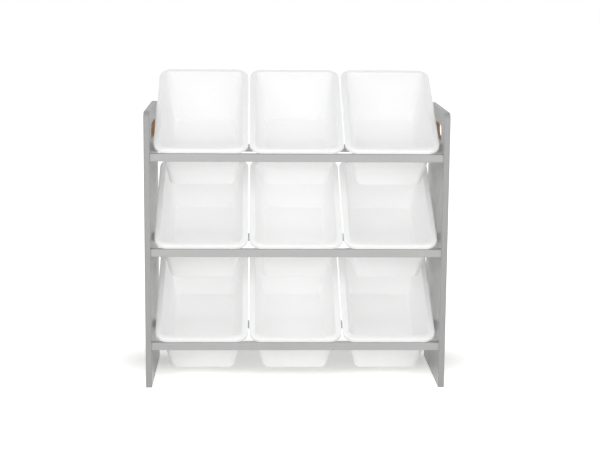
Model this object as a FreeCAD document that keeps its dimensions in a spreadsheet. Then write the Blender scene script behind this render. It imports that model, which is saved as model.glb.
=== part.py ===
"""Three-tier storage organizer for toys: two side panels, six rails and nine lift-out bins.

Millimetres. X runs to the right, Y to the back and Z up. The origin lies on the floor, under
the centre of the whole object. Each bin hangs tilted between a front rail and a rear rail.
"""
import FreeCAD, Part
import math
import os
import Sketcher

# The driving dimensions: one line for each size that can be set by itself.
SIZES = (
    ("panel_depth", 268.0, "front to rear of a side panel"),
    ("panel_thickness", 13.0, "painted board"),
    ("panel_corner_radius", 16.0, "top corners, seen from the side"),
    ("panel_chamfer", 1.5, "eased edges of the board"),
    ("grip_length", 123.0, "hand-hold slot, end to end"),
    ("grip_height", 31.5, "hand-hold slot, top to bottom"),
    ("grip_setback", 49.0, "front of the panel to the slot"),
    ("grip_drop", 32.0, "top of the panel to the slot"),
    ("grip_chamfer", 1.0, "eased edges of the slot"),
    ("lowest_rail_top", 97.5, "floor to the top of the lowest front rail"),
    ("tier_pitch", 203.0, "one tier to the next"),
    ("top_rail_drop", 88.5, "top of a side panel to the top of the highest front rail"),
    ("rail_height", 16.5, "section of a rail"),
    ("rail_depth", 20.0, "section of a rail"),
    ("rail_edge_radius", 2.0, "eased long edges of a rail"),
    ("front_rail_setback", 3.5, "front of the panels to the front rails"),
    ("rear_rail_inset", 35.0, "rear of the panels to the rear rails"),
    ("bin_tilt", 30.4, "degrees that the front of a bin is tipped down"),
    ("bin_length", 300.0, "rim, front to rear"),
    ("bin_width", 199.0, "rim, side to side"),
    ("bin_depth", 119.0, "top of the rim to the underside of the floor"),
    ("bin_gap", 2.4, "between the rims of two bins side by side"),
    ("side_gap", 6.1, "between the rim of an outer bin and the side panel"),
    ("bin_draft", 9.3, "degrees that the walls of a bin lean inwards"),
    ("wall_thickness", 2.0, "walls and floor of a bin"),
    ("flange_thickness", 2.2, "flat of the rim"),
    ("rim_width", 13.0, "outside of the rim to the opening"),
    ("rim_corner_radius", 27.0, "corners of the rim in plan"),
    ("base_chamfer", 4.0, "underside of the floor to the walls"),
    ("rim_chamfer", 2.5, "flat of the rim to the outside of the lip"),
    ("lip_height", 9.7, "top of the rim to the lower edge of the lip"),
    ("lip_thickness", 2.0, "turned-down lip"),
    ("seat_clearance", 0.3, "between a bin and the rails that carry it"),
    ("screw_length", 45.0, "connector screw, whole"),
    ("screw_diameter", 5.0, "connector screw, over its thread"),
    ("screw_head_diameter", 9.5, "countersunk head"),
    ("socket_width", 3.0, "hexagon socket, across flats"),
    ("socket_depth", 2.4, "hexagon socket"),
    ("screw_inset", 6.5, "front face of a rail to the screw"),
    ("pin_inset", 15.0, "front face of a rail to the locating pin"),
    ("pin_diameter", 4.0, "locating pin"),
    ("pin_in_panel", 8.0, "length of the pin held in the panel"),
    ("pin_in_rail", 12.0, "length of the pin held in the rail"),
    ("bore_clearance", 0.1, "radial, round a screw or a pin"),
    ("bore_spare_depth", 1.0, "past the end of a screw or a pin"),
)

# What follows from them. Each bin slides down its slope until the front wall of its tub meets
# the front rail, its lip stands on that rail and its floor lies on the edge of the rear rail.
# Depths run back from the front of the panels, heights up from the top of a front rail.
LAYOUT = (
    ("panel_height", "Sizes.lowest_rail_top + 2 * Sizes.tier_pitch + Sizes.top_rail_drop"),
    ("bin_spacing", "Sizes.bin_width + Sizes.bin_gap"),
    ("inner_width", "Sizes.bin_width + 2 * Layout.bin_spacing + 2 * Sizes.side_gap"),
    ("half_width", "Layout.inner_width / 2 + Sizes.panel_thickness"),
    ("tub_length", "Sizes.bin_length - 2 * Sizes.rim_width + 2 * Sizes.wall_thickness"),
    ("tub_width", "Sizes.bin_width - 2 * Sizes.rim_width + 2 * Sizes.wall_thickness"),
    ("tub_corner_radius", "Sizes.rim_corner_radius - Sizes.rim_width + Sizes.wall_thickness"),
    ("base_length", "Layout.tub_length - 2 * Sizes.bin_depth * tan(Sizes.bin_draft)"),
    ("half_base_angle", "45 + Sizes.bin_draft / 2"),
    ("floor_chamfer", "Sizes.base_chamfer - Sizes.wall_thickness"
        " * (1 / sin(Layout.half_base_angle) - 1) / cos(Layout.half_base_angle)"),
    ("seat_reach", "Sizes.rail_edge_radius + Sizes.seat_clearance"),
    ("rim_front_height", "Sizes.seat_clearance + Sizes.lip_height * cos(Sizes.bin_tilt)"),
    ("tub_inset", "(Sizes.bin_length - Layout.tub_length) / 2"),
    ("rim_front_depth", "Sizes.front_rail_setback + Sizes.rail_depth - Sizes.rail_edge_radius"
        " - Layout.tub_inset * cos(Sizes.bin_tilt)"
        " + (Layout.seat_reach - (Sizes.rail_edge_radius + Layout.rim_front_height"
        " + Layout.tub_inset * sin(Sizes.bin_tilt)) * sin(Sizes.bin_tilt + Sizes.bin_draft))"
        " / cos(Sizes.bin_tilt + Sizes.bin_draft)"),
    ("rim_centre_depth", "Layout.rim_front_depth + Sizes.bin_length / 2 * cos(Sizes.bin_tilt)"),
    ("rim_centre_height", "Layout.rim_front_height + Sizes.bin_length / 2 * sin(Sizes.bin_tilt)"),
    ("rear_rail_setback", "Sizes.panel_depth - Sizes.rear_rail_inset - Sizes.rail_depth"),
    ("floor_run", "Layout.rear_rail_setback + Sizes.rail_edge_radius - Layout.rim_front_depth"
        " - Sizes.bin_depth * sin(Sizes.bin_tilt)"),
    ("rear_rail_height", "Sizes.rail_edge_radius + Layout.rim_front_height"
        " - Sizes.bin_depth * cos(Sizes.bin_tilt)"
        " + (Layout.floor_run * sin(Sizes.bin_tilt) - Layout.seat_reach) / cos(Sizes.bin_tilt)"),
    ("base_rear_run", "Layout.base_length / 2 + Sizes.base_chamfer * sin(Sizes.bin_draft)"),
    ("overall_depth", "Layout.rim_centre_depth + Layout.base_rear_run * cos(Sizes.bin_tilt)"
        " + (Sizes.bin_depth - Sizes.base_chamfer * cos(Sizes.bin_draft)) * sin(Sizes.bin_tilt)"),
    ("front_plane", "-Layout.overall_depth / 2"),
    ("head_height", "(Sizes.screw_head_diameter - Sizes.screw_diameter) / 2"),
    ("screw_bore_depth", "Sizes.screw_length - Sizes.panel_thickness + Sizes.bore_spare_depth"),
    ("socket_corner", "Sizes.socket_width / sqrt(3)"),
)

TIERS = ("bottom", "middle", "top")
COLUMNS = ("left", "centre", "right")
LEFT, RIGHT = -1, 1
SIDES = ((LEFT, "left"), (RIGHT, "right"))
NEAR = 1e-4
QUARTER = math.pi / 2


def fill_sheet(doc, name, rows):
    """Write one value and its alias in each line of a new sheet."""
    sheet = doc.addObject("Spreadsheet::Sheet", name)
    for number, (alias, value) in enumerate(rows, start=1):
        sheet.set(f"A{number}", alias)
        sheet.set(f"B{number}", value)
        sheet.setAlias(f"B{number}", alias)
    doc.recompute()
    return sheet


def bind(thing, **expressions):
    """Tie properties to the sheets; a double underscore stands for a dot."""
    for path, expression in expressions.items():
        thing.setExpression(path.replace("__", "."), expression)


def place(thing, x="0", y="0", z="0"):
    bind(thing, Placement__Base__x=x, Placement__Base__y=y, Placement__Base__z=z)


def new_body(doc, label):
    body = doc.addObject("PartDesign::Body", label)
    body.Label = label
    return body


def origin_feature(body, role):
    return next(item for item in body.Origin.OriginFeatures if item.Role == role)


def new_sketch(body, name, plane, offset="0"):
    """A sketch on one of the body's own planes, moved along that plane's normal."""
    sketch = body.newObject("Sketcher::SketchObject", name)
    sketch.AttachmentSupport = [(origin_feature(body, plane), "")]
    sketch.MapMode = "FlatFace"
    bind(sketch, AttachmentOffset__Base__z=offset)
    return sketch


def value_of(thing, expression):
    return float(thing.evalExpression(expression))


def dimension(sketch, kind, expression, *references):
    """Add a dimension whose value comes from the sheets."""
    size = value_of(sketch, expression)
    index = sketch.addConstraint(Sketcher.Constraint(kind, *references, size))
    sketch.setExpression(f"Constraints[{index}]", expression)


def locate(sketch, geometry, point, x, y):
    """Hold a point of the sketch at x, y from its origin."""
    for kind, axis, expression in (("DistanceX", -2, x), ("DistanceY", -1, y)):
        if expression == "0":
            sketch.addConstraint(Sketcher.Constraint("PointOnObject", geometry, point, axis))
        else:
            dimension(sketch, kind, expression, -1, 1, geometry, point)


def draw_polygon(sketch, corners):
    """A closed polygon through corners that are given as expressions."""
    points = [FreeCAD.Vector(value_of(sketch, x), value_of(sketch, y), 0) for x, y in corners]
    count = len(points)
    for index, point in enumerate(points):
        sketch.addGeometry(Part.LineSegment(point, points[(index + 1) % count]), False)
    for index in range(count):
        joint = ("Coincident", index, 2, (index + 1) % count, 1)
        sketch.addConstraint(Sketcher.Constraint(*joint))
    for index, (x, y) in enumerate(corners):
        locate(sketch, index, 1, x, y)


def draw_rounded_rectangle(sketch, size_x, size_y, radius):
    """Four sides and four tangent corner arcs, centred on the sketch's origin."""
    first = sketch.GeometryCount
    half_x = value_of(sketch, size_x) / 2
    half_y = value_of(sketch, size_y) / 2
    round_off = value_of(sketch, radius)
    near_x = half_x - round_off
    near_y = half_y - round_off
    sides = (
        ((-near_x, -half_y), (near_x, -half_y)),
        ((half_x, -near_y), (half_x, near_y)),
        ((near_x, half_y), (-near_x, half_y)),
        ((-half_x, near_y), (-half_x, -near_y)),
    )
    for start, end in sides:
        sketch.addGeometry(
            Part.LineSegment(FreeCAD.Vector(*start, 0), FreeCAD.Vector(*end, 0)), False)
    centres = ((near_x, -near_y), (near_x, near_y), (-near_x, near_y), (-near_x, -near_y))
    for index, centre in enumerate(centres):
        circle = Part.Circle(FreeCAD.Vector(*centre, 0), FreeCAD.Vector(0, 0, 1), round_off)
        start_angle = (index - 1) * QUARTER
        sketch.addGeometry(Part.ArcOfCircle(circle, start_angle, start_angle + QUARTER), False)
    side = [first + index for index in range(4)]
    arc = [first + 4 + index for index in range(4)]
    for index in range(4):
        following = side[(index + 1) % 4]
        sketch.addConstraint(Sketcher.Constraint("Tangent", side[index], 2, arc[index], 1))
        sketch.addConstraint(Sketcher.Constraint("Tangent", arc[index], 2, following, 1))
    for index, kind in zip(side, ("Horizontal", "Vertical", "Horizontal", "Vertical")):
        sketch.addConstraint(Sketcher.Constraint(kind, index))
    for other in arc[1:]:
        sketch.addConstraint(Sketcher.Constraint("Equal", arc[0], other))
    sketch.addConstraint(Sketcher.Constraint("Symmetric", arc[0], 3, arc[2], 3, -1, 1))
    dimension(sketch, "DistanceX", size_x, side[3], 1, side[1], 1)
    dimension(sketch, "DistanceY", size_y, side[0], 1, side[2], 1)
    dimension(sketch, "Radius", radius, arc[0])


def draw_circle(sketch, x, y, radius):
    centre = FreeCAD.Vector(value_of(sketch, x), value_of(sketch, y), 0)
    circle = Part.Circle(centre, FreeCAD.Vector(0, 0, 1), value_of(sketch, radius))
    index = sketch.addGeometry(circle, False)
    locate(sketch, index, 3, x, y)
    dimension(sketch, "Radius", radius, index)


def draw_slot(sketch, x, y, length, height):
    """A slot with round ends; x, y is the middle of its nearer end arc."""
    radius = value_of(sketch, height) / 2
    near = FreeCAD.Vector(value_of(sketch, x), value_of(sketch, y), 0)
    far = near + FreeCAD.Vector(value_of(sketch, length) - 2 * radius, 0, 0)
    rise = FreeCAD.Vector(0, radius, 0)
    normal = FreeCAD.Vector(0, 0, 1)
    sketch.addGeometry(Part.LineSegment(near - rise, far - rise), False)
    sketch.addGeometry(
        Part.ArcOfCircle(Part.Circle(far, normal, radius), -QUARTER, QUARTER), False)
    sketch.addGeometry(Part.LineSegment(far + rise, near + rise), False)
    sketch.addGeometry(
        Part.ArcOfCircle(Part.Circle(near, normal, radius), QUARTER, 3 * QUARTER), False)
    for index in range(4):
        joint = ("Tangent", index, 2, (index + 1) % 4, 1)
        sketch.addConstraint(Sketcher.Constraint(*joint))
    sketch.addConstraint(Sketcher.Constraint("Horizontal", 0))
    locate(sketch, 3, 3, x, y)
    dimension(sketch, "DistanceX", f"{length} - {height}", 3, 3, 1, 3)
    dimension(sketch, "Radius", f"{height} / 2", 1)


def extrude(body, kind, name, sketch, length, reverse=False):
    """A pad or a pocket; it has to change the solid's volume."""
    before = body.Shape.Volume if body.Tip else 0.0
    feature = body.newObject(f"PartDesign::{kind}", name)
    feature.Profile = sketch
    feature.Reversed = reverse
    bind(feature, Length=length)
    body.Document.recompute()
    gained = feature.Shape.Volume - before
    if (kind == "Pad" and gained <= NEAR) or (kind == "Pocket" and gained >= -NEAR):
        raise RuntimeError(f"{name} of {body.Label} changed nothing")
    return feature


def faces_where(feature, wanted):
    return [f"Face{number}" for number, face in enumerate(feature.Shape.Faces, start=1)
            if wanted(face)]


def ease_edges(body, kind, name, size, wanted):
    """Fillet or chamfer each edge of the body's last feature that the test accepts."""
    base = body.Tip
    picked = [f"Edge{number}" for number, edge in enumerate(base.Shape.Edges, start=1)
              if wanted(edge)]
    if not picked:
        raise RuntimeError(f"{name} of {body.Label} found no edge")
    feature = body.newObject(f"PartDesign::{kind}", name)
    feature.Base = (base, picked)
    bind(feature, **{"Radius" if kind == "Fillet" else "Size": size})
    body.Document.recompute()
    return feature


def round_edges(body, name, radius, wanted):
    return ease_edges(body, "Fillet", name, radius, wanted)


def lies_at(element, axis, height):
    """True for an edge or face that has one value of x, y or z all over."""
    box = element.BoundBox
    low = getattr(box, f"{axis}Min")
    high = getattr(box, f"{axis}Max")
    return abs(low - height) < NEAR and abs(high - height) < NEAR


def reaches(edge, axis, distance):
    """True for an edge that gets as far from the middle, on either side."""
    box = edge.BoundBox
    return max(-getattr(box, f"{axis}Min"), getattr(box, f"{axis}Max")) > distance - NEAR


def runs_along(edge, axis):
    """True for a straight edge along one axis."""
    box = edge.BoundBox
    spans = {name: getattr(box, f"{name}Length") for name in ("X", "Y", "Z")}
    length = spans.pop(axis)
    return length > NEAR and all(span < NEAR for span in spans.values())


def spans(edge, low, high):
    """True for an edge that runs from one height to another."""
    heights = sorted(vertex.Point.z for vertex in edge.Vertexes)
    return abs(heights[0] - low) < NEAR and abs(heights[-1] - high) < NEAR


def rail_place(row, tier):
    """Depth and height of the top front edge of a rail, as expressions."""
    top = f"Sizes.lowest_rail_top + {tier} * Sizes.tier_pitch"
    if row == "front":
        return "Layout.front_plane + Sizes.front_rail_setback", top
    return "Layout.front_plane + Layout.rear_rail_setback", f"{top} + Layout.rear_rail_height"


def make_panel(doc, side, side_name):
    """Side panel: local x = 0 is its outer face, y runs back from its front and z up."""
    body = new_body(doc, f"{side_name}_side_panel")
    outline = new_sketch(body, f"{body.Label}_outline", "YZ_Plane")
    draw_polygon(outline, (
        ("0", "0"),
        ("Sizes.panel_depth", "0"),
        ("Sizes.panel_depth", "Layout.panel_height"),
        ("0", "Layout.panel_height"),
    ))
    extrude(body, "Pad", f"{body.Label}_board", outline, "Sizes.panel_thickness", side == RIGHT)
    height = value_of(doc.Sizes, "Layout.panel_height")
    thickness = value_of(doc.Sizes, "Sizes.panel_thickness")
    inner = -side * thickness
    round_edges(body, f"{body.Label}_corners", "Sizes.panel_corner_radius",
                lambda edge: runs_along(edge, "X") and edge.BoundBox.ZMin > height - NEAR)
    ease_edges(body, "Chamfer", f"{body.Label}_edges", "Sizes.panel_chamfer",
               lambda edge: (lies_at(edge, "X", 0) or lies_at(edge, "X", inner))
               and not lies_at(edge, "Z", 0))
    cut_grip(body, side, inner)
    bore_panel(body, side)
    place(body, f"{side} * Layout.half_width", "Layout.front_plane", "0")
    return body


def cut_grip(body, side, inner):
    """The hand-hold: a round-ended slot with chamfered edges."""
    sketch = new_sketch(body, f"{body.Label}_grip", "YZ_Plane")
    draw_slot(sketch, "Sizes.grip_setback + Sizes.grip_height / 2",
              "Layout.panel_height - Sizes.grip_drop - Sizes.grip_height / 2",
              "Sizes.grip_length", "Sizes.grip_height")
    extrude(body, "Pocket", f"{body.Label}_grip_cut", sketch, "Sizes.panel_thickness",
            side == LEFT)
    front = value_of(body, "Sizes.grip_setback") - NEAR
    rear = front + value_of(body, "Sizes.grip_length") + 2 * NEAR
    top = value_of(body, "Layout.panel_height - Sizes.grip_drop") + NEAR
    bottom = top - value_of(body, "Sizes.grip_height") - 2 * NEAR

    def is_rim_of_slot(edge):
        box = edge.BoundBox
        inside = box.YMin > front and box.YMax < rear and box.ZMin > bottom and box.ZMax < top
        return inside and (lies_at(edge, "X", 0) or lies_at(edge, "X", inner))

    ease_edges(body, "Chamfer", f"{body.Label}_grip_edges", "Sizes.grip_chamfer", is_rim_of_slot)


def bore_panel(body, side):
    """Countersunk screw holes and blind pin holes for the six rails that meet the panel."""
    screws = new_sketch(body, f"{body.Label}_screw_points", "YZ_Plane")
    pins = new_sketch(body, f"{body.Label}_pin_points", "YZ_Plane",
                      f"{-side} * Sizes.panel_thickness")
    for row in ("front", "rear"):
        depth, height = rail_place(row, 0)
        middle = f"{height} - Sizes.rail_height / 2"
        draw_circle(screws, f"{depth} - Layout.front_plane + Sizes.screw_inset", middle,
                    "Sizes.screw_diameter / 2 + Sizes.bore_clearance")
        draw_circle(pins, f"{depth} - Layout.front_plane + Sizes.pin_inset", middle,
                    "Sizes.pin_diameter / 2 + Sizes.bore_clearance")
    body.Document.recompute()
    before = body.Shape.Volume
    hole = body.newObject("PartDesign::Hole", f"{body.Label}_screw_holes")
    hole.Profile = screws
    body.Document.recompute()
    hole.Reversed = side == LEFT
    hole.DepthType = "ThroughAll"
    hole.ThreadType = "None"
    hole.HoleCutType = "Countersink"
    hole.HoleCutCustomValues = True
    bind(hole, Diameter="Sizes.screw_diameter + 2 * Sizes.bore_clearance",
         HoleCutDiameter="Sizes.screw_head_diameter + 2 * Sizes.bore_clearance")
    hole.HoleCutCountersinkAngle = 90
    body.Document.recompute()
    if hole.Shape.Volume >= before - NEAR:
        raise RuntimeError(f"{hole.Label} cut nothing")
    blind = extrude(body, "Pocket", f"{body.Label}_pin_holes", pins,
                    "Sizes.pin_in_panel + Sizes.bore_spare_depth", side == RIGHT)
    repeat = body.newObject("PartDesign::LinearPattern", f"{body.Label}_tiers")
    repeat.Originals = [hole, blind]
    repeat.Direction = (screws, ["V_Axis"])
    repeat.Occurrences = len(TIERS)
    bind(repeat, Length=f"{len(TIERS) - 1} * Sizes.tier_pitch")
    body.Tip = repeat
    body.Document.recompute()


def make_rail(doc, row, tier):
    """Rail: local x = 0 is its middle, y runs back from its front face, z = 0 is its top."""
    body = new_body(doc, f"{row}_rail_{TIERS[tier]}")
    section = new_sketch(body, f"{body.Label}_section", "YZ_Plane", "-Layout.inner_width / 2")
    draw_polygon(section, (
        ("0", "0"),
        ("0", "-Sizes.rail_height"),
        ("Sizes.rail_depth", "-Sizes.rail_height"),
        ("Sizes.rail_depth", "0"),
    ))
    extrude(body, "Pad", f"{body.Label}_bar", section, "Layout.inner_width")
    round_edges(body, f"{body.Label}_edges", "Sizes.rail_edge_radius",
                lambda edge: runs_along(edge, "X"))
    bores = []
    for name, inset, radius, length in (
        ("screw", "Sizes.screw_inset", "Sizes.screw_diameter / 2", "Layout.screw_bore_depth"),
        ("pin", "Sizes.pin_inset", "Sizes.pin_diameter / 2",
         "Sizes.pin_in_rail + Sizes.bore_spare_depth"),
    ):
        sketch = new_sketch(body, f"{body.Label}_{name}_point", "YZ_Plane",
                            "Layout.inner_width / 2")
        draw_circle(sketch, inset, "-Sizes.rail_height / 2", f"{radius} + Sizes.bore_clearance")
        bores.append(extrude(body, "Pocket", f"{body.Label}_{name}_bore", sketch, length))
    other_end = body.newObject("PartDesign::Mirrored", f"{body.Label}_other_end")
    other_end.Originals = bores
    other_end.MirrorPlane = (origin_feature(body, "YZ_Plane"), [""])
    body.Tip = other_end
    doc.recompute()
    depth, height = rail_place(row, tier)
    place(body, "0", depth, height)
    return body


def make_bin(doc, column, tier):
    """Moulded bin: z = 0 is the top of its rim, y runs from its front to its rear.

    A thin tub, whose four walls lean in to the floor, carries a flat rim with a turned-down lip.
    """
    body = new_body(doc, f"bin_{TIERS[tier]}_{COLUMNS[column]}")
    make_tub(body)
    inner_edge = ("Layout.tub_width - Sizes.wall_thickness",
                  "Layout.tub_length - Sizes.wall_thickness",
                  "Layout.tub_corner_radius - Sizes.wall_thickness / 2")
    make_rim_ring(body, "flange", "Sizes.flange_thickness", inner_edge)
    inner_edge = ("Sizes.bin_width - 2 * Sizes.lip_thickness",
                  "Sizes.bin_length - 2 * Sizes.lip_thickness",
                  "Sizes.rim_corner_radius - Sizes.lip_thickness")
    make_rim_ring(body, "lip", "Sizes.lip_height", inner_edge)
    half_length = value_of(body, "Sizes.bin_length") / 2
    half_width = value_of(body, "Sizes.bin_width") / 2
    ease_edges(body, "Chamfer", f"{body.Label}_rim_edges", "Sizes.rim_chamfer",
               lambda edge: lies_at(edge, "Z", 0)
               and (reaches(edge, "X", half_width) or reaches(edge, "Y", half_length)))
    seat_bin(body, column, tier)
    return body


def make_tub(body):
    """A block with mould draft and rounded corners, shelled from its open top."""
    outline = new_sketch(body, f"{body.Label}_outline", "XY_Plane")
    half_width, half_length = "Layout.tub_width / 2", "Layout.tub_length / 2"
    draw_polygon(outline, (
        (f"-{half_width}", f"-{half_length}"),
        (half_width, f"-{half_length}"),
        (half_width, half_length),
        (f"-{half_width}", half_length),
    ))
    block = extrude(body, "Pad", f"{body.Label}_block", outline, "Sizes.bin_depth", True)
    draft = body.newObject("PartDesign::Draft", f"{body.Label}_draft")
    draft.Base = (block, faces_where(block, lambda face: face.BoundBox.ZLength > NEAR))
    draft.NeutralPlane = (origin_feature(body, "XY_Plane"), [""])
    draft.Reversed = True
    bind(draft, Angle="Sizes.bin_draft")
    body.Document.recompute()
    depth = value_of(body, "Sizes.bin_depth")
    rounded = round_edges(body, f"{body.Label}_corners", "Layout.tub_corner_radius",
                          lambda edge: spans(edge, -depth, 0))
    shell = body.newObject("PartDesign::Thickness", f"{body.Label}_shell")
    shell.Base = (rounded, faces_where(rounded, lambda face: lies_at(face, "Z", 0)))
    shell.Reversed = True
    bind(shell, Value="Sizes.wall_thickness")
    body.Document.recompute()
    ease_edges(body, "Chamfer", f"{body.Label}_base_edges", "Sizes.base_chamfer",
               lambda edge: lies_at(edge, "Z", -depth))
    floor = value_of(body, "Sizes.wall_thickness") - depth
    ease_edges(body, "Chamfer", f"{body.Label}_floor_edges", "Layout.floor_chamfer",
               lambda edge: lies_at(edge, "Z", floor))


def make_rim_ring(body, name, height, inner_edge):
    """A ring from the outside of the rim to an inner edge, under the top of the rim."""
    sketch = new_sketch(body, f"{body.Label}_{name}_outline", "XY_Plane")
    draw_rounded_rectangle(sketch, "Sizes.bin_width", "Sizes.bin_length",
                           "Sizes.rim_corner_radius")
    draw_rounded_rectangle(sketch, *inner_edge)
    extrude(body, "Pad", f"{body.Label}_{name}", sketch, height, True)


def seat_bin(body, column, tier):
    """Tip the bin forward and set it down on the rails of its tier."""
    body.Placement = FreeCAD.Placement(
        FreeCAD.Vector(), FreeCAD.Rotation(FreeCAD.Vector(1, 0, 0), 1.0))
    bind(body, Placement__Rotation__Angle="Sizes.bin_tilt")
    place(body, f"{column - 1} * Layout.bin_spacing",
          "Layout.front_plane + Layout.rim_centre_depth",
          f"Sizes.lowest_rail_top + {tier} * Sizes.tier_pitch + Layout.rim_centre_height")


def make_screw(doc, side, name, depth, height):
    """Connector screw: its head lies flush in the panel and x runs along it to its end."""
    body = new_body(doc, name)
    profile = new_sketch(body, f"{name}_profile", "XY_Plane")
    draw_polygon(profile, (
        ("0", "0"),
        ("Sizes.screw_length", "0"),
        ("Sizes.screw_length", "Sizes.screw_diameter / 2"),
        ("Layout.head_height", "Sizes.screw_diameter / 2"),
        ("0", "Sizes.screw_head_diameter / 2"),
    ))
    turned = body.newObject("PartDesign::Revolution", f"{name}_turned")
    turned.Profile = profile
    turned.ReferenceAxis = (profile, ["H_Axis"])
    turned.Angle = 360
    doc.recompute()
    socket = new_sketch(body, f"{name}_socket", "YZ_Plane")
    corner, half = "Layout.socket_corner", "Layout.socket_corner / 2"
    flat = "Sizes.socket_width / 2"
    draw_polygon(socket, (
        (corner, "0"), (half, flat), (f"-{half}", flat),
        (f"-{corner}", "0"), (f"-{half}", f"-{flat}"), (half, f"-{flat}"),
    ))
    extrude(body, "Pocket", f"{name}_socket_cut", socket, "Sizes.socket_depth", True)
    if side == RIGHT:
        body.Placement = FreeCAD.Placement(
            FreeCAD.Vector(), FreeCAD.Rotation(FreeCAD.Vector(0, 0, 1), 180))
    place(body, f"{side} * Layout.half_width", f"{depth} + Sizes.screw_inset",
          f"{height} - Sizes.rail_height / 2")
    return body


def make_pin(doc, side, name, depth, height):
    """Locating pin: it stops its rail from turning about the screw."""
    pin = doc.addObject("Part::Cylinder", name)
    bind(pin, Radius="Sizes.pin_diameter / 2", Height="Sizes.pin_in_panel + Sizes.pin_in_rail")
    pin.Placement = FreeCAD.Placement(
        FreeCAD.Vector(), FreeCAD.Rotation(FreeCAD.Vector(0, 1, 0), -90 * side))
    place(pin, f"{side} * (Layout.inner_width / 2 + Sizes.pin_in_panel)",
          f"{depth} + Sizes.pin_inset", f"{height} - Sizes.rail_height / 2")
    return pin


def make_group(doc, label, make_piece, side):
    """The six like fasteners of one side panel, as one node of separate solids."""
    pieces = []
    for tier, tier_name in enumerate(TIERS):
        for row in ("front", "rear"):
            depth, height = rail_place(row, tier)
            name = f"{label}_{row}_{tier_name}"
            pieces.append(make_piece(doc, side, name, depth, height))
    group = doc.addObject("Part::Compound", label)
    group.Label = label
    group.Links = pieces
    return group


def make_nodes(doc):
    nodes = []
    for side, side_name in SIDES:
        nodes.append(make_panel(doc, side, side_name))
        nodes.append(make_group(doc, f"connector_screws_{side_name}", make_screw, side))
        nodes.append(make_group(doc, f"locating_pins_{side_name}", make_pin, side))
    for tier in range(len(TIERS)):
        for row in ("front", "rear"):
            nodes.append(make_rail(doc, row, tier))
        for column in range(len(COLUMNS)):
            nodes.append(make_bin(doc, column, tier))
    return nodes


def check(doc, nodes):
    """Stop before anything is written if an object failed or a solid is missing."""
    for item in doc.Objects:
        if "Invalid" in item.State or "Error" in item.State:
            raise RuntimeError(f"{item.Label}: {item.State}")
    for node in nodes:
        if node.Shape.isNull() or not node.Shape.isValid() or not node.Shape.Solids:
            raise RuntimeError(f"{node.Label} has no valid solid")


def main():
    doc = FreeCAD.newDocument("storage_organizer")
    fill_sheet(doc, "Sizes", [(alias, str(value)) for alias, value, _ in SIZES])
    fill_sheet(doc, "Layout", [(alias, f"={formula}") for alias, formula in LAYOUT])
    nodes = make_nodes(doc)
    doc.recompute()
    check(doc, nodes)
    os.makedirs("parts", exist_ok=True)
    for node in nodes:
        node.Shape.exportStep(f"parts/{node.Label}.step")
        print(node.Label, len(node.Shape.Solids), round(node.Shape.Volume))
    return doc


main()
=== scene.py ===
"""Looks of the storage organizer: painted board, raw board in the hand-holds, moulded bins.

Metres, in the frame of the CAD model, whose front faces -Y. The stand keeps its CAD shapes. The
bins are drawn afresh over theirs, with the soft rolled edges of a moulding.
"""

import math

import bmesh
import bpy
from mathutils import Matrix, Vector


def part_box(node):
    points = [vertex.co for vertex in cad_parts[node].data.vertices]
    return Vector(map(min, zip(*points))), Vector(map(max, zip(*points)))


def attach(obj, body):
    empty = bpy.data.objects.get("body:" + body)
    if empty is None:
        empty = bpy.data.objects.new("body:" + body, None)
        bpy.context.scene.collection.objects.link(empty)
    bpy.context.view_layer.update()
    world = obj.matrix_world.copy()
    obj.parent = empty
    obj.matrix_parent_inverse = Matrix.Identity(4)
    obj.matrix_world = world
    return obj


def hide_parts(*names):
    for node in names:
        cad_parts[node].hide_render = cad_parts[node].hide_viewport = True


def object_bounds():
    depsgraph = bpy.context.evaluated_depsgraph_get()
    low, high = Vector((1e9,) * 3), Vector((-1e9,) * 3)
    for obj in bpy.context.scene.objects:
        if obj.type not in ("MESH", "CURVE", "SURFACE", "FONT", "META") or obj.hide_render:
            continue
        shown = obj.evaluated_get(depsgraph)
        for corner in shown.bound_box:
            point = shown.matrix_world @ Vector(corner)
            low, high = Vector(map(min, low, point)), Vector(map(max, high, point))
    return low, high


# The camera of the photograph, found from the edges of the panels, rails and bins.
IMAGE_WIDTH_PIXELS = 600
FOCAL_PIXELS = 1466.7
SENSOR_WIDTH = 36.0
VIEW_LIMIT = 100.0
CAMERA_FROM_FRONT = Vector((-0.0910, -3.0405, 0.8870))
CAMERA_YAW = math.radians(1.848)
CAMERA_PITCH = math.radians(9.936)
CAMERA_ROLL = math.radians(0.461)

# The hand-hold. Its edges and a margin beside them stay unpainted. Past the margin the paint
# starts along a ragged line, over a short fade.
GRIP_LENGTH = 0.123
GRIP_HEIGHT = 0.0315
GRIP_SETBACK = 0.049
GRIP_DROP = 0.032
RAW_MARGIN = 0.0006
PAINT_RAGGEDNESS = 0.0003
PAINT_FADE = 0.0003

# A bin, in its own axes: z = 0 is the top of its rim and y runs from its front to its rear.
BIN_TILT = math.radians(30.4)
BIN_LENGTH = 0.300
BIN_WIDTH = 0.199
BIN_DEPTH = 0.119
BIN_DRAFT = math.radians(9.3)
WALL = 0.002
FLANGE = 0.0022
RIM_WIDTH = 0.013
RIM_CORNER = 0.027
RIM_ROLL = 0.0036
MOUTH_ROLL = 0.0018
LIP_HEIGHT = 0.0097
BASE_ROUND = 0.0062
CORNER_STEPS = 14
ROLL_STEPS = 6

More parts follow.
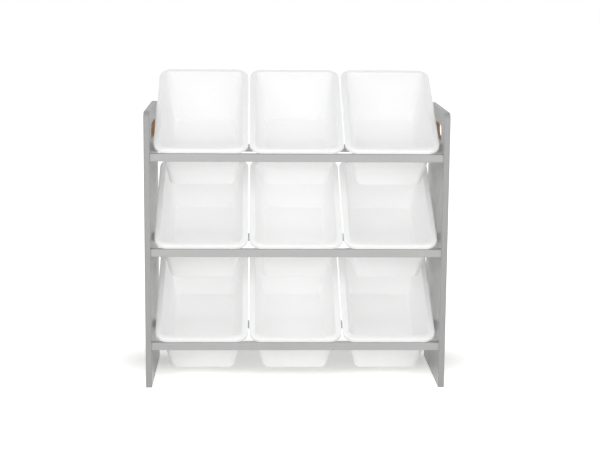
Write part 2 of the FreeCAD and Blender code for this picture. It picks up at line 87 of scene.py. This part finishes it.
# Colours. A pair is the darker and the lighter tone of a grain, and a drift is the share by which
# a tone wanders. Flecks of raw board are a multiple of its lighter tone and cover it up to their
# share, and the board is rougher than its paint by the value given. The darker steel is a
# multiple of the lighter one.
PANEL_PAINT = (0.340, 0.340, 0.338)
RAIL_PAINT = (0.425, 0.425, 0.422)
PAINT_DRIFT = 0.025
RAW_BOARD = ((0.250, 0.135, 0.072), (0.410, 0.240, 0.135))
RAW_FLECK_TONE = 1.15
RAW_FLECK_SHARE = 0.35
RAW_ROUGHER = 0.5
BIN_PLASTIC = (0.900, 0.902, 0.900)
BIN_DRIFT = 0.008
# The bins' glow is painted light: an emission that brightens them all over, shaded insides too.
BIN_PAINTED_GLOW = 0.145
BIN_PAINTED_GLOW_COLOUR = (1.0, 1.0, 0.995, 1.0)
BIN_SEE_THROUGH = 0.3
POLYPROPYLENE_IOR = 1.49
STEEL = (0.56, 0.56, 0.57)
STEEL_DARKER = 0.85
BEECH = ((0.560, 0.370, 0.200), (0.680, 0.490, 0.300))

# How fast a grain changes along X, Y and Z. It changes least along its fibres or marks, which run
# along X in the screws and pins, and lie in the plane of the panels in raw board.
FIBRES = (900.0, 240.0, 240.0)
BRUSH_MARKS = (300.0, 2600.0, 2600.0)
BEECH_GRAIN = (60.0, 1500.0, 1500.0)

WHITE = (1.0, 1.0, 1.0, 1.0)
WORLD_TONE = (0.985, 0.99, 1.0, 1.0)
WORLD_STRENGTH = 0.52
FLOOR_SIZE = 40.0
FLOOR_DROP = 0.0005
FLOOR_TONE = (0.93, 0.93, 0.915, 1.0)
FLOOR_WHITENING_TONE = (1.0, 0.995, 0.98, 1.0)
# What the floor adds to its lit tone where it shows as background: within an oval near the object
# and away from it, and the distances where that rise starts and ends. Gloss mirrors it, and
# otherwise it lights nothing. Adding less within the oval is a painted shadow, laid over the
# object's own. The oval has its centre behind the middle of the object, and is longer from side
# to side.
FLOOR_WHITENING = (0.14, 0.75)
FLOOR_WHITENING_REACH = (0.11, 0.22)
# Centre and stretch of the painted shadow's oval.
PAINTED_SHADOW_CENTRE = (0.0, 0.10, 0.0)
PAINTED_SHADOW_STRETCH = 2.3
DIFFUSE_BOUNCES = 12
# Name, place, aim, size and power of each soft light. One looks straight down at the floor,
# which sends its light up under the bins; the others look at the middle of the object.
LIGHTS = (
    ("left_softbox", (-1.4, -3.3, 1.0), "object", 2.2, 29.0),
    ("right_softbox", (1.4, -3.3, 1.0), "object", 2.2, 20.5),
    ("overhead_softbox", (0.0, -1.2, 3.0), "object", 2.6, 1.0),
    ("floor_softbox", (0.0, -2.1, 1.2), "floor", 2.4, 13.0),
)


# ---------------------------------------------------------------- material building blocks
class Nodes:
    """A new material with an empty graph, a Principled shader and object coordinates."""

    def __init__(self, name):
        self.material = bpy.data.materials.new(name)
        self.material.use_nodes = True
        self.tree = self.material.node_tree
        self.tree.nodes.clear()
        self.output = self.tree.nodes.new("ShaderNodeOutputMaterial")
        self.shader = self.tree.nodes.new("ShaderNodeBsdfPrincipled")
        self.link(self.shader.outputs["BSDF"], self.output.inputs["Surface"])
        self.place = self.tree.nodes.new("ShaderNodeTexCoord").outputs["Object"]

    def link(self, source, target):
        self.tree.links.new(source, target)

    def set(self, **values):
        """Sets sockets of the shader by name; an underscore stands for a space."""
        for name, value in values.items():
            self.shader.inputs[name.replace("_", " ")].default_value = value

    def feed(self, **sockets):
        """Links sockets to inputs of the shader by name; an underscore stands for a space."""
        for name, socket in sockets.items():
            self.link(socket, self.shader.inputs[name.replace("_", " ")])

    def stretched(self, scale):
        """Object coordinates scaled differently along each axis, for a grain or an oval."""
        mapping = self.tree.nodes.new("ShaderNodeMapping")
        mapping.inputs["Scale"].default_value = scale
        self.link(self.place, mapping.inputs["Vector"])
        return mapping.outputs["Vector"]

    def noise(self, scale, detail=3.0, roughness=0.5, place=None):
        node = self.tree.nodes.new("ShaderNodeTexNoise")
        node.inputs["Scale"].default_value = scale
        node.inputs["Detail"].default_value = detail
        node.inputs["Roughness"].default_value = roughness
        self.link(place or self.place, node.inputs["Vector"])
        return node.outputs["Fac"]

    def spread(self, value, low=0.0, high=1.0, start=0.3, end=0.7):
        """Maps start to end onto low to high, and stops there. A noise seldom leaves 0.3 to 0.7."""
        node = self.tree.nodes.new("ShaderNodeMapRange")
        for name, number in (("From Min", start), ("From Max", end),
                             ("To Min", low), ("To Max", high)):
            node.inputs[name].default_value = number
        self.link(value, node.inputs["Value"])
        return node.outputs["Result"]

    def math(self, operation, first, second=None):
        node = self.tree.nodes.new("ShaderNodeMath")
        node.operation = operation
        for socket, value in zip(node.inputs, (first, second)):
            if isinstance(value, (int, float)):
                socket.default_value = value
            elif value is not None:
                self.link(value, socket)
        return node.outputs["Value"]

    def mix(self, factor, first, second, kind="RGBA"):
        """Between first and second, each a colour or a socket; kind is RGBA or VECTOR."""
        node = self.tree.nodes.new("ShaderNodeMix")
        node.data_type = kind
        self.link(factor, node.inputs["Factor"])
        ends = [socket for socket in node.inputs if socket.type == kind and socket.enabled]
        for socket, value in zip(ends, (first, second)):
            if isinstance(value, tuple):
                socket.default_value = (*value, 1.0)
            else:
                self.link(value, socket)
        return next(socket for socket in node.outputs if socket.type == kind)

    def bump(self, height, distance, strength=1.0, below=None):
        node = self.tree.nodes.new("ShaderNodeBump")
        node.inputs["Strength"].default_value = strength
        node.inputs["Distance"].default_value = distance
        self.link(height, node.inputs["Height"])
        if below is not None:
            self.link(below, node.inputs["Normal"])
        return node.outputs["Normal"]


def shade(colour, factor):
    """The colour made lighter or darker by a factor."""
    return tuple(channel * factor for channel in colour)


# ---------------------------------------------------------------- materials
def paint_finish(nodes, colour):
    """Sprayed satin paint: faint clouds in its tone, a soft orange peel and uneven sheen."""
    clouds = nodes.spread(nodes.noise(scale=7.0, detail=4.0))
    tone = nodes.mix(clouds, shade(colour, 1 - PAINT_DRIFT), shade(colour, 1 + PAINT_DRIFT))
    peel = nodes.bump(nodes.noise(scale=420.0, detail=2.0, roughness=0.45),
                      distance=0.00006, strength=0.6)
    normal = nodes.bump(nodes.noise(scale=2600.0, detail=1.0),
                        distance=0.00001, strength=0.5, below=peel)
    roughness = nodes.spread(nodes.noise(scale=38.0, detail=5.0, roughness=0.6),
                             low=0.30, high=0.40)
    return tone, roughness, normal


def painted_rail():
    """The finish of the panels, in a lighter tone, for the rails."""
    nodes = Nodes("painted_rail")
    tone, roughness, normal = paint_finish(nodes, RAIL_PAINT)
    nodes.feed(Base_Color=tone, Roughness=roughness, Normal=normal)
    return nodes.material


def distance_from_grip(nodes, front):
    """How far a point lies from the middle line of the hand-hold slot, seen from the side."""
    radius = GRIP_HEIGHT / 2
    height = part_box("left_side_panel")[1].z - GRIP_DROP - radius
    near = front + GRIP_SETBACK + radius
    far = front + GRIP_SETBACK + GRIP_LENGTH - radius
    split = nodes.tree.nodes.new("ShaderNodeSeparateXYZ")
    nodes.link(nodes.place, split.inputs["Vector"])
    along = nodes.math("MINIMUM", nodes.math("MAXIMUM", split.outputs["Y"], near), far)
    run = nodes.math("SUBTRACT", split.outputs["Y"], along)
    rise = nodes.math("SUBTRACT", split.outputs["Z"], height)
    squares = [nodes.math("MULTIPLY", side, side) for side in (run, rise)]
    return nodes.math("SQRT", nodes.math("ADD", *squares))


def painted_panel(front):
    """Painted board that is left raw, with its brown fibres showing, inside the hand-hold."""
    nodes = Nodes("painted_panel")
    tone, roughness, normal = paint_finish(nodes, PANEL_PAINT)
    ragged = nodes.spread(nodes.noise(scale=700.0, detail=3.0),
                          low=-PAINT_RAGGEDNESS, high=PAINT_RAGGEDNESS)
    edge = nodes.math("ADD", distance_from_grip(nodes, front), ragged)
    start = GRIP_HEIGHT / 2 + RAW_MARGIN
    painted = nodes.spread(edge, start=start, end=start + PAINT_FADE)
    fibres = nodes.noise(scale=1.0, detail=6.0, roughness=0.65, place=nodes.stretched(FIBRES))
    flecks = nodes.noise(scale=1900.0, detail=4.0, roughness=0.6)
    raw = nodes.mix(nodes.spread(fibres), *RAW_BOARD)
    fleck_tone = shade(RAW_BOARD[1], RAW_FLECK_TONE)
    raw = nodes.mix(nodes.spread(flecks, high=RAW_FLECK_SHARE), raw, fleck_tone)
    rough_normal = nodes.bump(fibres, distance=0.00025, strength=0.8)
    unpainted = nodes.math("SUBTRACT", 1.0, painted)
    raw_roughness = nodes.math("MULTIPLY", unpainted, RAW_ROUGHER)
    nodes.feed(Base_Color=nodes.mix(painted, raw, tone),
               Roughness=nodes.math("ADD", roughness, raw_roughness),
               Normal=nodes.mix(painted, rough_normal, normal, "VECTOR"))
    return nodes.material


def moulded_plastic():
    """White polypropylene: satin, faintly rippled and sparked by its mould, with a painted glow.

    Its thin walls let some light through, and a painted glow, an emission, brightens them all over.
    """
    nodes = Nodes("moulded_plastic")
    clouds = nodes.spread(nodes.noise(scale=11.0, detail=3.0))
    tone = nodes.mix(clouds, shade(BIN_PLASTIC, 1 - BIN_DRIFT), BIN_PLASTIC)
    ripple = nodes.bump(nodes.noise(scale=14.0, detail=2.0), distance=0.0006, strength=0.06)
    spark = nodes.bump(nodes.noise(scale=1500.0, detail=2.0),
                       distance=0.00002, strength=0.5, below=ripple)
    roughness = nodes.spread(nodes.noise(scale=55.0, detail=4.0), low=0.36, high=0.46)
    nodes.feed(Base_Color=tone, Normal=spark, Roughness=roughness)
    # The emission is a painted glow, though the bins are no lamp.
    nodes.set(IOR=POLYPROPYLENE_IOR, Emission_Color=BIN_PAINTED_GLOW_COLOUR, Emission_Strength=BIN_PAINTED_GLOW)
    through = nodes.tree.nodes.new("ShaderNodeBsdfTranslucent")
    nodes.link(tone, through.inputs["Color"])
    wall = nodes.tree.nodes.new("ShaderNodeMixShader")
    wall.inputs["Fac"].default_value = BIN_SEE_THROUGH
    nodes.link(nodes.shader.outputs["BSDF"], wall.inputs[1])
    nodes.link(through.outputs["BSDF"], wall.inputs[2])
    nodes.link(wall.outputs["Shader"], nodes.output.inputs["Surface"])
    return nodes.material


def zinc_steel():
    """Zinc-plated steel of the screws, with fine marks along them."""
    nodes = Nodes("zinc_steel")
    brushed = nodes.noise(scale=1.0, detail=4.0, roughness=0.6, place=nodes.stretched(BRUSH_MARKS))
    nodes.feed(Base_Color=nodes.mix(nodes.spread(brushed), shade(STEEL, STEEL_DARKER), STEEL),
               Roughness=nodes.spread(brushed, low=0.26, high=0.42),
               Normal=nodes.bump(brushed, distance=0.00002, strength=0.5))
    nodes.set(Metallic=1.0)
    return nodes.material


def plain_beech():
    """Bare beech of the locating pins, with its grain along them."""
    nodes = Nodes("plain_beech")
    grain = nodes.noise(scale=1.0, detail=5.0, roughness=0.6, place=nodes.stretched(BEECH_GRAIN))
    nodes.feed(Base_Color=nodes.mix(nodes.spread(grain), *BEECH),
               Roughness=nodes.spread(grain, low=0.66, high=0.54),
               Normal=nodes.bump(grain, distance=0.0001, strength=0.5))
    return nodes.material


def dress(objects, front, plastic):
    """Gives every CAD solid the material of its kind."""
    finishes = (
        ("side_panel", painted_panel(front)),
        ("rail", painted_rail()),
        ("bin", plastic),
        ("connector_screws", zinc_steel()),
        ("locating_pins", plain_beech()),
    )
    for name, thing in objects.items():
        finish = next(material for kind, material in finishes if kind in name)
        for slot in thing.material_slots:
            slot.material = finish


# ---------------------------------------------------------------- the moulded bins
def rounded_loop(mesh, width, length, corner, height):
    """One ring of a bin: a rectangle with round corners, level in the bin's own axes."""
    ring = []
    for quarter, (side_x, side_y) in enumerate(((1, 1), (-1, 1), (-1, -1), (1, -1))):
        centre = Vector((side_x * (width / 2 - corner), side_y * (length / 2 - corner), height))
        for step in range(CORNER_STEPS + 1):
            angle = (quarter + step / CORNER_STEPS) * math.pi / 2
            ring.append(mesh.verts.new(
                centre + corner * Vector((math.cos(angle), math.sin(angle), 0.0))))
    return ring


def arc(centre_inset, centre_height, radius, start, end):
    """Points of a rounded edge, as pairs of inset from the rim's outside and height."""
    for step in range(ROLL_STEPS + 1):
        angle = start + (end - start) * step / ROLL_STEPS
        yield centre_inset + radius * math.cos(angle), centre_height + radius * math.sin(angle)


def wall_inset(height, skin):
    """Inset of the tub's drafted wall at a height; skin is its inner or its outer face."""
    outside = RIM_WIDTH - WALL - height * math.tan(BIN_DRAFT)
    return outside + (WALL / math.cos(BIN_DRAFT) if skin == "inner" else 0.0)


def bin_profile():
    """Section of the wall, from the edge of the inside floor, over the rim, to the underside's."""
    up = math.pi / 2
    outward = math.pi
    down = 1.5 * math.pi
    inward = 2 * math.pi
    inner_round = BASE_ROUND - WALL
    floor = WALL - BIN_DEPTH
    base_angle = (math.pi / 2 + BIN_DRAFT) / 2
    inner_corner = wall_inset(floor, "inner") + inner_round / math.tan(base_angle)
    outer_corner = wall_inset(-BIN_DEPTH, "outer") + BASE_ROUND / math.tan(base_angle)
    mouth_angle = (math.pi / 2 - BIN_DRAFT) / 2
    mouth = wall_inset(0.0, "inner") - MOUTH_ROLL * math.tan(mouth_angle)
    section = []
    section += arc(inner_corner, floor + inner_round, inner_round, down, outward + BIN_DRAFT)
    section += arc(mouth, -MOUTH_ROLL, MOUTH_ROLL, BIN_DRAFT, up)
    section += arc(RIM_ROLL, -RIM_ROLL, RIM_ROLL, up, outward)
    section += arc(WALL / 2, -LIP_HEIGHT + WALL / 2, WALL / 2, outward, inward)
    section += arc(RIM_ROLL, -RIM_ROLL, RIM_ROLL - WALL, outward, up)
    section += [(wall_inset(-FLANGE, "outer"), -FLANGE)]
    section += arc(outer_corner, BASE_ROUND - BIN_DEPTH, BASE_ROUND, outward + BIN_DRAFT, down)
    return section


def bin_mesh(material):
    """Rings along the section, skinned, with the floor closed inside and outside."""
    mesh = bmesh.new()
    rings = []
    tub_corner = RIM_CORNER - RIM_WIDTH + WALL
    for inset, height in bin_profile():
        corner = max(RIM_CORNER - inset, tub_corner - WALL)
        rings.append(rounded_loop(
            mesh, BIN_WIDTH - 2 * inset, BIN_LENGTH - 2 * inset, corner, height))
    for lower, upper in zip(rings, rings[1:]):
        for index in range(len(lower)):
            following = (index + 1) % len(lower)
            mesh.faces.new((lower[index], lower[following], upper[following], upper[index]))
    mesh.faces.new(reversed(rings[0]))
    mesh.faces.new(rings[-1])
    bmesh.ops.recalc_face_normals(mesh, faces=mesh.faces)
    data = bpy.data.meshes.new("moulded_bin")
    mesh.to_mesh(data)
    mesh.free()
    data.materials.append(material)
    for polygon in data.polygons:
        polygon.use_smooth = True
    return data


def bin_place(solid):
    """Place of a bin: its origin is the middle of the top of the rim, by its solid's reach."""
    axes = (Vector((1.0, 0.0, 0.0)),
            Vector((0.0, math.cos(BIN_TILT), math.sin(BIN_TILT))),
            Vector((0.0, -math.sin(BIN_TILT), math.cos(BIN_TILT))))
    reach = [[vertex.co.dot(axis) for vertex in solid.data.vertices] for axis in axes]
    middle = [(min(values) + max(values)) / 2 for values in reach]
    middle[2] = max(reach[2])
    origin = sum((axis * value for axis, value in zip(axes, middle)), Vector())
    return Matrix.Translation(origin) @ Matrix.Rotation(BIN_TILT, 4, "X")


def make_bins(objects, plastic):
    """A copy of one bin for each solid that it stands for, on that solid's body."""
    pattern = bin_mesh(plastic)
    for name, solid in objects.items():
        if not name.startswith("bin"):
            continue
        data = pattern.copy()
        data.transform(bin_place(solid))
        piece = bpy.data.objects.new(f"moulded_{name}", data)
        bpy.context.scene.collection.objects.link(piece)
        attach(piece, name)
        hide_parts(name)
    bpy.data.meshes.remove(pattern)


# ---------------------------------------------------------------- stage, light and camera
def background_rays(tree):
    """1 for rays from the camera, off gloss or through glass, which show the background, or 0."""
    path = tree.nodes.new("ShaderNodeLightPath")
    seen = path.outputs["Is Camera Ray"]
    for kind in ("Is Glossy Ray", "Is Transmission Ray"):
        either = tree.nodes.new("ShaderNodeMath")
        either.operation = "MAXIMUM"
        tree.links.new(seen, either.inputs[0])
        tree.links.new(path.outputs[kind], either.inputs[1])
        seen = either.outputs["Value"]
    return seen


def make_floor():
    """White floor: the object's shadow with a painted shadow over it; further off, the background.
    """
    bpy.ops.mesh.primitive_plane_add(size=FLOOR_SIZE, location=(0.0, 0.0, -FLOOR_DROP))
    floor = bpy.context.object
    floor.name = "floor"
    nodes = Nodes("pale_floor")
    nodes.set(Base_Color=FLOOR_TONE, Roughness=0.9, Specular_IOR_Level=0.0,
              Emission_Color=FLOOR_WHITENING_TONE)
    # Painted shadow: within an oval round the object the floor is whitened less.
    away = nodes.tree.nodes.new("ShaderNodeVectorMath")
    away.operation = "DISTANCE"
    away.inputs[1].default_value = PAINTED_SHADOW_CENTRE
    nodes.link(nodes.stretched((1.0 / PAINTED_SHADOW_STRETCH, 1.0, 1.0)), away.inputs[0])
    whitening = nodes.spread(away.outputs["Value"], *FLOOR_WHITENING, *FLOOR_WHITENING_REACH)
    nodes.feed(Emission_Strength=nodes.math("MULTIPLY", whitening, background_rays(nodes.tree)))
    floor.data.materials.append(nodes.material)


def make_world():
    """White where it shows as background; dimmer as the light on things."""
    world = bpy.data.worlds.new("studio")
    bpy.context.scene.world = world
    world.use_nodes = True
    tree = world.node_tree
    tree.nodes.clear()
    output = tree.nodes.new("ShaderNodeOutputWorld")
    seen = tree.nodes.new("ShaderNodeBackground")
    light = tree.nodes.new("ShaderNodeBackground")
    choose = tree.nodes.new("ShaderNodeMixShader")
    seen.inputs["Color"].default_value = WHITE
    seen.inputs["Strength"].default_value = 1.0
    light.inputs["Color"].default_value = WORLD_TONE
    light.inputs["Strength"].default_value = WORLD_STRENGTH
    tree.links.new(background_rays(tree), choose.inputs["Fac"])
    tree.links.new(light.outputs["Background"], choose.inputs[1])
    tree.links.new(seen.outputs["Background"], choose.inputs[2])
    tree.links.new(choose.outputs["Shader"], output.inputs["Surface"])


def make_lights(target):
    """Square soft lamps, of which those that aim at the object look at the target."""
    for name, place, aim, size, power in LIGHTS:
        data = bpy.data.lights.new(name, "AREA")
        data.shape = "SQUARE"
        data.size = size
        data.energy = power
        lamp = bpy.data.objects.new(name, data)
        lamp.location = place
        view = target - Vector(place) if aim == "object" else Vector((0.0, 0.0, -1.0))
        lamp.rotation_euler = view.to_track_quat("-Z", "Y").to_euler()
        bpy.context.scene.collection.objects.link(lamp)


def make_camera(front):
    """A level camera turned by the yaw, tipped down by the pitch and rolled about its view."""
    data = bpy.data.cameras.new("camera")
    data.sensor_width = SENSOR_WIDTH
    data.lens = FOCAL_PIXELS * SENSOR_WIDTH / IMAGE_WIDTH_PIXELS
    data.clip_end = VIEW_LIMIT
    camera = bpy.data.objects.new("camera", data)
    turn = Matrix.Rotation(-CAMERA_YAW, 4, "Z")
    tip = Matrix.Rotation(math.pi / 2 - CAMERA_PITCH, 4, "X")
    roll = Matrix.Rotation(CAMERA_ROLL, 4, "Z")
    place = Matrix.Translation(CAMERA_FROM_FRONT + Vector((0.0, front, 0.0)))
    camera.matrix_world = place @ turn @ tip @ roll
    bpy.context.scene.collection.objects.link(camera)
    bpy.context.scene.camera = camera


def set_render():
    """Plain colours, and enough bounces to light the white bins right down to their floors."""
    scene = bpy.context.scene
    scene.view_settings.view_transform = "Standard"
    scene.cycles.diffuse_bounces = DIFFUSE_BOUNCES
    scene.cycles.max_bounces = DIFFUSE_BOUNCES


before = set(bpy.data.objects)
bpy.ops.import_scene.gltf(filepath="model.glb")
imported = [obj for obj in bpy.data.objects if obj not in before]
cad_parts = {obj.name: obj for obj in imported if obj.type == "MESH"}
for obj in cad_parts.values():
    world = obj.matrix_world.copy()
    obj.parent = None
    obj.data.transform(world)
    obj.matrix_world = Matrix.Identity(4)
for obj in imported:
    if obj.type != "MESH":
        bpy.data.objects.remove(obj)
cad_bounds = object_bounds()
front_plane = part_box("left_side_panel")[0].y
bin_plastic = moulded_plastic()
dress(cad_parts, front_plane, bin_plastic)
make_bins(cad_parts, bin_plastic)
make_floor()
make_world()
make_lights(sum(cad_bounds, Vector()) / 2)
make_camera(front_plane)
set_render()
